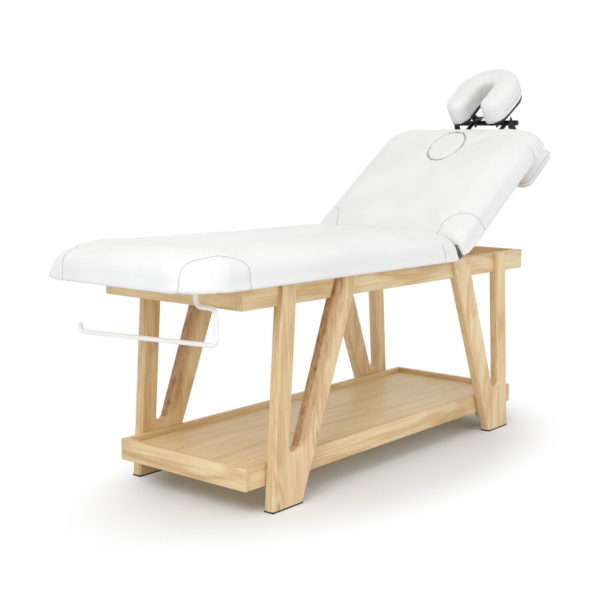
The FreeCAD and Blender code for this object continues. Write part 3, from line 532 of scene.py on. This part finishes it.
# Sizes of the cushions and of the boards they are stapled to
cushion_low, cushion_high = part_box("seat_cushion")
seat_board_low, seat_board_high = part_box("seat_board")
half_width = cushion_high.y
board_half = seat_board_high.y
board_low_v, board_top_v = -0.040, -0.025
board_start, board_end = 0.030, 0.640
back_start, back_end, back_top_v = 0.004, 0.662, 0.052
hinge_room = 0.0086  # from the hinge's axis to the cover, beside the hinge's upright
room_side, room_top = 0.313, 0.016  # across and upward, where that room has ended
hole_u, hole_long, hole_wide = 0.509, 0.090, 0.068
board_play, staple_rise = 0.004, 0.006
plug_hold_v, cradle_hold_v = 0.045, 0.014  # below these the plug and the cradle cushion don't swell


def clamped(value):
    return min(1.0, max(0.0, value))


def hole_share(u, y):
    """1 on the wall of the face hole, less inside it."""
    return math.hypot((u - hole_u) / hole_long, y / hole_wide)


def seat_held(point):
    along = seat_board_low.x - board_play < point.x < seat_board_high.x + board_play
    inside = along and abs(point.y) < board_half + board_play
    hem = point.z < cushion_low.z + staple_rise
    return hem or (inside and point.z < seat_board_high.z + staple_rise)


def back_held(point):
    u, y, v = from_back(point)
    along = board_start - board_play < u < board_end + board_play
    inside = along and abs(y) < board_half + board_play
    hem = v < board_low_v - 0.001
    hole_wall = hole_share(u, y) < 1.10
    return hem or hole_wall or (inside and v < board_top_v + staple_rise)


seat = upholster("seat_cushion", "seat_cover", "base", 0.0115, 0.002, 0.006, seat_held)
back = upholster("back_cushion", "back_cover", "back", 0.0095, 0.002, 0.006, back_held)
plug = upholster("face_hole_plug", "plug_cover", "plug", 0.006, 0.001, 0.002,
                 lambda point: from_back(point)[2] < plug_hold_v)


def true_up_hole(piece, margin, top):
    """Wall vertices of the face hole, or of its plug, go onto one clean ellipse, margin wider."""
    wanted = 1 + margin / math.hypot(hole_long, hole_wide) * 1.35
    for vertex in piece.data.vertices:
        u, y, v = from_back(vertex.co)
        share = hole_share(u, y)
        if 0.86 < share < 1.12 and v < top:
            scale = wanted / share
            vertex.co = on_back(hole_u + (u - hole_u) * scale, y * scale, v)


cradle = upholster("cradle_cushion", "cradle_cover", "cradle_top", 0.006, 0.002, 0.006,
                   lambda point: from_back(point)[2] < cradle_hold_v)
shelf = upholster("arm_shelf_pad", "arm_shelf_cover", "back", 0.0075, 0.003, 0.007,
                  lambda point: False)


# The covers take their cushions' length and width, and their corners are drawn in
def as_is(point):
    return point.x, point.y, point.z


def at_place(length, y, level):
    return Vector((length, y, level))


def fill_out(cover, node, there, here):
    """Stretches a cover along and across until it is as long and wide as its cushion."""
    cushion = [there(vertex.co) for vertex in frame["nodes"][node].data.vertices]
    places = [there(vertex.co) for vertex in cover.data.vertices]
    spans = []
    for axis in (0, 1):
        want_low, want_high = min(place[axis] for place in cushion), max(place[axis] for place in cushion)
        has_low, has_high = min(place[axis] for place in places), max(place[axis] for place in places)
        scale = (want_high - want_low) / (has_high - has_low)
        spans.append((scale, want_low - has_low * scale))
    for vertex, place in zip(cover.data.vertices, places):
        vertex.co = here(place[0] * spans[0][0] + spans[0][1], place[1] * spans[1][0] + spans[1][1], place[2])


def corner_drawn(place, end, way, radius, depth, drop, foot_level, top_level):
    """A place near a cushion's corner, pulled in and down, more so toward the top."""
    length, y, level = place
    ahead = (length - (end - way * radius)) * way
    aside = abs(y) - (half_width - radius)
    if ahead <= 0 or aside <= 0:
        return place
    spread = math.hypot(ahead, aside)
    share = 2 * ahead * aside / spread ** 2 * min(1.0, spread / radius) ** 2
    rise = clamped((level - foot_level) / (top_level - foot_level))
    pull = depth * share * rise ** 1.5 / spread
    return length - way * ahead * pull, y - math.copysign(aside * pull, y), level - drop * share ** 2 * rise


fill_out(seat, "seat_cushion", as_is, at_place)
fill_out(back, "back_cushion", from_back, on_back)
fill_out(cradle, "cradle_cushion", from_back, on_back)
fill_out(shelf, "arm_shelf_pad", from_back, on_back)


def seat_drawn(point):
    levels = cushion_low.z, cushion_high.z
    place = corner_drawn(as_is(point), cushion_low.x, -1, 0.130, 0.027, 0.006, *levels)
    return Vector(corner_drawn(place, cushion_high.x, 1, 0.090, 0.006, 0.003, *levels))


def back_drawn(point):
    """Both ends of the back cushion; inside the low corners the hinge's upright keeps its room."""
    place = corner_drawn(from_back(point), back_end, 1, 0.130, 0.018, 0.0, board_top_v - 0.008, back_top_v)
    u, y, v = corner_drawn(place, back_start, -1, 0.060, -0.008, 0.0, -1.0, back_top_v)
    hinge_side = clamped((room_side - abs(y)) / 0.008) * clamped((room_top - v) / 0.010)
    return on_back(u + hinge_side * max(0.0, hinge_room - u), y, v)


for cover, drawn in ((seat, seat_drawn), (back, back_drawn)):
    for vertex in cover.data.vertices:
        vertex.co = drawn(vertex.co)

# The shelf pad's border bulges along its middle and draws in toward both faces
pad_u0, pad_u1, pad_half, pad_mid, pad_corner = 0.624, 0.852, 0.215, -0.216, 0.036
pad_centre = (pad_u0 + pad_u1) / 2
pad_reach, pad_rise = 0.114, 0.036  # half its length and half its thickness
pad_thinned, pad_drawn_u, pad_drawn_y = 0.26, 0.17, 0.08  # lost at its ends and at its faces' borders
for vertex in shelf.data.vertices:
    u, y, v = from_back(vertex.co)
    rise = min(1.0, abs(v - pad_mid) / pad_rise) ** 2
    thin = 1 - pad_thinned * min(1.0, abs(u - pad_centre) / pad_reach) ** 2.5
    vertex.co = on_back(pad_centre + (u - pad_centre) * (1 - pad_drawn_u * rise),
                        y * (1 - pad_drawn_y * rise), pad_mid + (v - pad_mid) * thin)

# The face cradle: a bent tube on a plate, its two ends tapering toward each other
arc_u, arc_outer, arm_end = 0.856, 0.131, 0.756
arc_mid, tube_half = 0.081, 0.050
taper_start, taper_length = 0.815, 0.109
end_closed, end_thinned = 0.008, 0.010
hem_height, hem_drop = 0.022, 0.009  # the cover's hem hangs over the plate's edge
nose_height, nose_drawn = 0.081, 0.010
plate_core, plate_drawn = 0.030, 0.008


def off_tube(u, y):
    """How far a point lies outside the tube's middle line, and the way out from it."""
    side = math.copysign(1, y)
    if u > arc_u:
        radius = math.hypot(u - arc_u, y)
        return radius - arc_mid, (u - arc_u) / radius, y / radius
    if u > arm_end:
        return abs(y) - arc_mid, 0.0, side
    ahead, aside = u - arm_end, abs(y) - arc_mid
    radius = max(1e-6, math.hypot(ahead, aside))
    return radius, ahead / radius, side * aside / radius


def draw_ends(u, y):
    ahead = max(0.0, (taper_start - u) / taper_length) ** 1.6
    return y - math.copysign((end_closed + end_thinned * (abs(y) - arc_mid) / tube_half) * ahead, y)


for vertex in cradle.data.vertices:
    u, y, v = from_back(vertex.co)
    offset, _, _ = off_tube(u, y)
    hem = clamped((offset / tube_half - 0.80) / 0.12) * clamped((hem_height - v) / hem_height)
    ahead = clamped((arm_end - u) / tube_half) * max(0.0, v / nose_height)
    vertex.co = on_back(u + nose_drawn * ahead ** 1.5, draw_ends(u, y), v - hem_drop * hem)
for vertex in bpy.data.objects["cradle_plate_eased"].data.vertices:
    u, y, v = from_back(vertex.co)
    offset, along, aside = off_tube(u, y)
    if abs(offset) > plate_core:
        u -= plate_drawn * along * math.copysign(1, offset)
        y -= plate_drawn * aside * math.copysign(1, offset)
    vertex.co = on_back(u, draw_ends(u, y), v)


# Seams: a path laid on the cover, pressed in, with a fold line in a grey that paints the crease's shade, and
# two rows of stitches
def laid_on(cover, rough, spacing=0.003):
    """A smooth curve through the rough points, dropped onto the cover: places with their normals."""
    surface = BVHTree.FromObject(cover, bpy.context.evaluated_depsgraph_get())
    spline = []
    for index in range(len(rough) - 1):
        before = rough[max(index - 1, 0)]
        start, end = rough[index], rough[index + 1]
        after = rough[min(index + 2, len(rough) - 1)]
        steps = max(2, int((end - start).length / spacing))
        for step in range(steps):
            t = step / steps
            spline.append(0.5 * (
                2 * start + (end - before) * t
                + (2 * before - 5 * start + 4 * end - after) * t ** 2
                + (3 * start - before - 3 * end + after) * t ** 3
            ))
    spline.append(rough[-1])
    laid = []
    for point in spline:
        where, normal, _, _ = surface.find_nearest(point)
        if not laid or (where - laid[-1][0]).length > spacing * 0.5:
            laid.append((where, normal))
    return laid


def press_in(cover, laid, width, depth):
    """A groove along the laid path."""
    tree = KDTree(len(laid))
    for index, (where, _) in enumerate(laid):
        tree.insert(where, index)
    tree.balance()
    for vertex in cover.data.vertices:
        _, _, distance = tree.find(vertex.co)
        if distance < width:
            vertex.co -= vertex.normal * depth * (1 - (distance / width) ** 2) ** 2


def seam_line(name, laid, body, radius=0.0009, sink=0.0003):
    curve = bpy.data.curves.new(name, "CURVE")
    curve.dimensions = "3D"
    curve.bevel_depth = radius
    curve.bevel_resolution = 2
    curve.use_fill_caps = True
    spline = curve.splines.new("POLY")
    spline.points.add(len(laid) - 1)
    for point, (where, normal) in zip(spline.points, laid):
        point.co = (*(where - normal * sink), 1)
    piece = bpy.data.objects.new(name, curve)
    scene.collection.objects.link(piece)
    select_only(piece)
    bpy.ops.object.convert(target="MESH")
    piece = bpy.context.object
    bpy.ops.object.shade_smooth()
    # The fold line's grey is painted shade for the seam's crease
    wear(piece, seam_fold_painted_shade)
    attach(piece, body)
    return piece


def one_stitch(length, thick):
    """A short thread with domed ends, lying along Y; every row of stitches is copies of it."""
    bpy.ops.object.select_all(action="DESELECT")
    bpy.ops.mesh.primitive_cylinder_add(vertices=6, radius=thick, depth=length,
                                        rotation=(math.radians(90), 0, 0))
    stitch = bpy.context.object
    settle(stitch)
    bpy.ops.object.mode_set(mode="EDIT")
    bpy.ops.mesh.select_all(action="SELECT")
    bpy.ops.mesh.bevel(offset=thick * 0.5, segments=1, affect="EDGES")
    bpy.ops.object.mode_set(mode="OBJECT")
    mesh = stitch.data
    bpy.data.objects.remove(stitch)
    return mesh


thread = one_stitch(0.0031, 0.00042)


def stitches(name, laid, body, offset=0.0032, pitch=0.005):
    shell = bmesh.new()
    walked = 0.0
    for index in range(1, len(laid) - 1):
        where, normal = laid[index]
        walked += (where - laid[index - 1][0]).length
        if walked < pitch:
            continue
        walked = 0.0
        way = (laid[index + 1][0] - laid[index - 1][0]).normalized()
        side = way.cross(normal).normalized()
        turn = Matrix((side, way, side.cross(way))).transposed().to_4x4()
        for sign in (-1, 1):
            copied = thread.copy()
            copied.transform(Matrix.Translation(where + side * offset * sign) @ turn)
            shell.from_mesh(copied)
            bpy.data.meshes.remove(copied)
    mesh = bpy.data.meshes.new(name)
    shell.to_mesh(mesh)
    shell.free()
    piece = bpy.data.objects.new(name, mesh)
    scene.collection.objects.link(piece)
    wear(piece, seam_thread)
    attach(piece, body)


def sew(name, cover, body, rough, width=0.008, depth=0.0022):
    laid = laid_on(cover, rough)
    press_in(cover, laid, width, depth)
    # Laid once more, now on the groove's floor
    laid = laid_on(cover, [where for where, _ in laid[::3]] + [laid[-1][0]])
    seam_line(name + "_fold", laid, body)
    stitches(name + "_stitches", laid, body)


# Each place of a foot corner's seam: distance from the foot end, across, height (None is the hem)
hem_level = cushion_low.z + 0.004
foot_paths = {
    "near": ((0.006, -0.252, None), (0.008, -0.253, 0.668), (0.026, -0.250, 0.703), (0.079, -0.252, 0.722),
             (0.134, -0.265, 0.724), (0.176, -0.292, 0.720), (0.194, -0.321, 0.703), (0.198, -0.327, 0.672),
             (0.197, -0.324, None)),
    "far": ((0.004, 0.190, None), (0.003, 0.191, 0.670), (0.022, 0.194, 0.713), (0.050, 0.204, 0.725),
            (0.100, 0.232, 0.728), (0.145, 0.268, 0.726), (0.172, 0.304, 0.717), (0.187, 0.326, 0.689),
            (0.196, 0.327, 0.661), (0.197, 0.324, None)),
}
for side, word in ((-1, "near"), (1, "far")):
    sew("seat_foot_seam_" + word, seat, "base", [
        seat_drawn(Vector((cushion_low.x + x, y, hem_level if z is None else z)))
        for x, y, z in foot_paths[word]
    ])
    sew("back_low_seam_" + word, back, "back", [
        on_back(0.009, side * 0.206, -0.034), on_back(0.010, side * 0.210, 0.004),
        on_back(0.026, side * 0.216, 0.036), on_back(0.088, side * 0.235, 0.050),
        on_back(0.130, side * 0.279, 0.045), on_back(0.137, side * 0.318, 0.022),
        on_back(0.143, side * 0.327, -0.010), on_back(0.144, side * 0.326, -0.042),
    ])
    sew("back_head_seam_" + word, back, "back", [
        on_back(0.556, side * 0.322, 0.020), on_back(0.553, side * 0.327, -0.004),
        on_back(0.552, side * 0.327, -0.042),
    ])
    sew("seat_end_seam_" + word, seat, "base", [
        Vector((cushion_high.x - 0.112, side * 0.322, 0.700)),
        Vector((cushion_high.x - 0.098, side * 0.327, 0.676)),
        Vector((cushion_high.x - 0.094, side * 0.326, hem_level)),
    ])

# The face hole and its plug, with a dark grey ring down in the groove between them, painted shade for the
# groove's depth
true_up_hole(back, 0.0006, 0.050)
true_up_hole(plug, -0.0030, 0.040)
groove_share, groove_v = 0.985, 0.0465
groove = []
for step in range(73):
    turn = math.radians(5 * step)
    where = on_back(hole_u + groove_share * hole_long * math.cos(turn),
                    groove_share * hole_wide * math.sin(turn), groove_v)
    groove.append((where, on_back(0, 0, 1) - pivot))
# A dark grey tube along the groove's floor, painted shade where the gap is deep
wear(seam_line("plug_groove_painted_shade", groove, "back", 0.0013, 0.0), groove_painted_shade)


# Border seams round the arm shelf pad, and one low round the cradle cushion
def pad_border(level):
    around = []
    for sign_u, sign_y, start in ((1, 1, 0), (-1, 1, 90), (-1, -1, 180), (1, -1, 270)):
        centre_u = (pad_u1 - pad_corner) if sign_u > 0 else (pad_u0 + pad_corner)
        centre_y = sign_y * (pad_half - pad_corner)
        for step in range(5):
            turn = math.radians(start + 22.5 * step)
            around.append(on_back(centre_u + pad_corner * math.cos(turn),
                                  centre_y + pad_corner * math.sin(turn), pad_mid + level))
    return around + around[:1]


for word, level in (("upper", 0.013), ("lower", -0.013)):
    sew("arm_shelf_seam_" + word, shelf, "back", pad_border(level), 0.006, 0.0016)

# Small folds where the cradle's cover turns round the inside of its bend
fold_depth = 0.0028
for vertex in cradle.data.vertices:
    u, y, v = from_back(vertex.co)
    radius = math.hypot(u - arc_u, y)
    if u > arc_u - 0.015 and radius < arc_mid and v > 0.020:
        near_wall = ((arc_mid - radius) / tube_half) ** 1.5
        fold = math.sin(math.atan2(y, u - arc_u) * 13 + 0.9 * math.sin(y * 70))
        begun = min(1.0, (u - arc_u + 0.015) / 0.03)
        vertex.co -= vertex.normal * fold_depth * near_wall * max(0.0, fold) * begun
seam_v = 0.030
arm = arc_u - arm_end
border = [on_back(arm_end + arm * share, -arc_outer, seam_v) for share in (0.0, 0.33, 0.66)]
for step in range(13):
    turn = math.radians(-90 + 15 * step)
    border.append(on_back(arc_u + arc_outer * math.cos(turn), arc_outer * math.sin(turn), seam_v))
border += [on_back(arm_end + arm * share, arc_outer, seam_v) for share in (0.66, 0.33, 0.0)]
sew("cradle_seam", cradle, "cradle_top", border, 0.006, 0.0014)


# Straps: flat webbing, from the shelf pad up to the cradle plate and the head batten
def strap(name, body, corners, bow, thick=0.0022):
    """A ribbon between two edges, each a pair of points, bowed a little along its normal."""
    (a0, a1), (b0, b1) = corners
    bpy.ops.object.select_all(action="DESELECT")
    bpy.ops.mesh.primitive_grid_add(x_subdivisions=6, y_subdivisions=24, size=1, calc_uvs=True)
    piece = bpy.context.object
    piece.name = name
    normal = (b0 - a0).cross(a1 - a0).normalized()
    for vertex in piece.data.vertices:
        s, t = vertex.co.x + 0.5, vertex.co.y + 0.5
        start = a0.lerp(a1, s)
        end = b0.lerp(b1, s)
        vertex.co = start.lerp(end, t) + normal * bow * math.sin(math.pi * t)
    hem = piece.modifiers.new("thick", "SOLIDIFY")
    hem.thickness = thick
    hem.offset = 0
    soft = piece.modifiers.new("edge", "BEVEL")
    soft.width = 0.0006
    soft.segments = 2
    apply_all(piece)
    smooth(piece, 50)
    wear(piece, webbing)
    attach(piece, body)
    return piece


def strap_corners(u0, u1, y0, y1, v0, v1, lean=0.0, slant=0.0):
    """The low and the high edge of a strap; the high one leans inward and is cut at a slant."""
    return ((on_back(u0, y0, v0), on_back(u1, y1, v0)),
            (on_back(u0, y0 - lean, v1 - slant), on_back(u1, y1 - lean, v1)))


for side, word in ((-1, "near"), (1, "far")):
    front_y = side * 0.1385
    front = strap("front_strap_" + word, "back", strap_corners(
        0.749, 0.787, front_y, front_y, -0.1795, -0.0085, side * 0.018, 0.020), 0.0008)
    rear = strap("rear_strap_" + word, "back", strap_corners(
        0.6222, 0.6222, side * 0.099, side * 0.137, -0.214, -0.0705), 0.0006)
    if side < 0:
        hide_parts("front_straps")
        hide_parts("rear_straps")

# Stage: pale floor that keeps the shadow, white surroundings, soft lamps
floor_material = bpy.data.materials.new("studio floor")
floor_material.use_nodes = True
page = Sheet(floor_material.node_tree)


def seen_rays(page):
    ray = page.add("ShaderNodeLightPath").outputs
    seen = page.math("MAXIMUM", ray["Is Camera Ray"], ray["Is Glossy Ray"])
    return page.math("MAXIMUM", seen, ray["Is Transmission Ray"])


shadow_oval = page.add("ShaderNodeMapping", {"Vector": page.add("ShaderNodeTexCoord").outputs["Object"],
                                             "Location": (0.12, 0.155, 0), "Scale": (1.02, 1.92, 1)})
reach = page.add("ShaderNodeVectorMath", {0: shadow_oval.outputs[0]}, operation="LENGTH")
far_off = page.add("ShaderNodeMapRange", {
    "Value": reach.outputs["Value"], "From Min": 0.70, "From Max": 1.12},
    interpolation_type="SMOOTHSTEP").outputs[0]
matte = page.add("ShaderNodeBsdfDiffuse", {"Color": (0.905, 0.93, 0.95, 1)})
white = page.add("ShaderNodeEmission", {"Color": (1, 1, 1, 1), "Strength": 1.0})
shown = page.add("ShaderNodeMixShader", {
    0: page.math("MULTIPLY", far_off, seen_rays(page)), 1: matte.outputs[0], 2: white.outputs[0]})
page.add("ShaderNodeOutputMaterial", {0: shown.outputs[0]})
bpy.ops.object.select_all(action="DESELECT")
bpy.ops.mesh.primitive_plane_add(size=60, location=(0, 0, 0))
floor = bpy.context.object
floor.name = "studio_floor"
floor.data.materials.append(floor_material)

world = bpy.data.worlds.new("studio")
scene.world = world
world.use_nodes = True
page = Sheet(world.node_tree)
around = page.add("ShaderNodeBackground", {"Color": (0.985, 0.985, 0.985, 1), "Strength": 0.68})
white = page.add("ShaderNodeBackground", {"Color": (1, 1, 1, 1), "Strength": 1.0})
sky = page.add("ShaderNodeMixShader", {0: seen_rays(page), 1: around.outputs[0], 2: white.outputs[0]})
page.add("ShaderNodeOutputWorld", {0: sky.outputs[0]})


def lamp(name, place, aim, size, watts):
    data = bpy.data.lights.new(name, "AREA")
    data.shape = "DISK"
    data.size = size
    data.energy = watts
    piece = bpy.data.objects.new(name, data)
    scene.collection.objects.link(piece)
    piece.location = place
    piece.rotation_mode = "QUATERNION"
    piece.rotation_quaternion = (Vector(aim) - Vector(place)).to_track_quat("-Z", "Y")


lamp("key", (-3.3, -1.0, 3.3), (0, 0, 0.6), 2.6, 62)
lamp("top", (0.4, 0.2, 4.2), (0, 0, 0.6), 3.0, 9)
lamp("side fill", (0.6, -4.6, 1.8), (0.1, 0, 0.7), 3.0, 32)

# Camera: same place and lens as the photograph's
camera_data = bpy.data.cameras.new("camera")
camera = bpy.data.objects.new("camera", camera_data)
scene.collection.objects.link(camera)
right = Vector((0.609769, -0.792535, 0.008947))
up = Vector((0.100544, 0.088540, 0.990988))
ahead = Vector((0.786184, 0.603371, -0.133675))
place = Matrix((right, up, -ahead)).transposed().to_4x4()
place.translation = Vector((-2.837017, -2.222240, 0.992297))
camera.matrix_world = place
camera_data.sensor_width = 36
camera_data.lens = 64.991
camera_data.shift_x = -0.1
camera_data.shift_y = -0.0047
scene.camera = camera
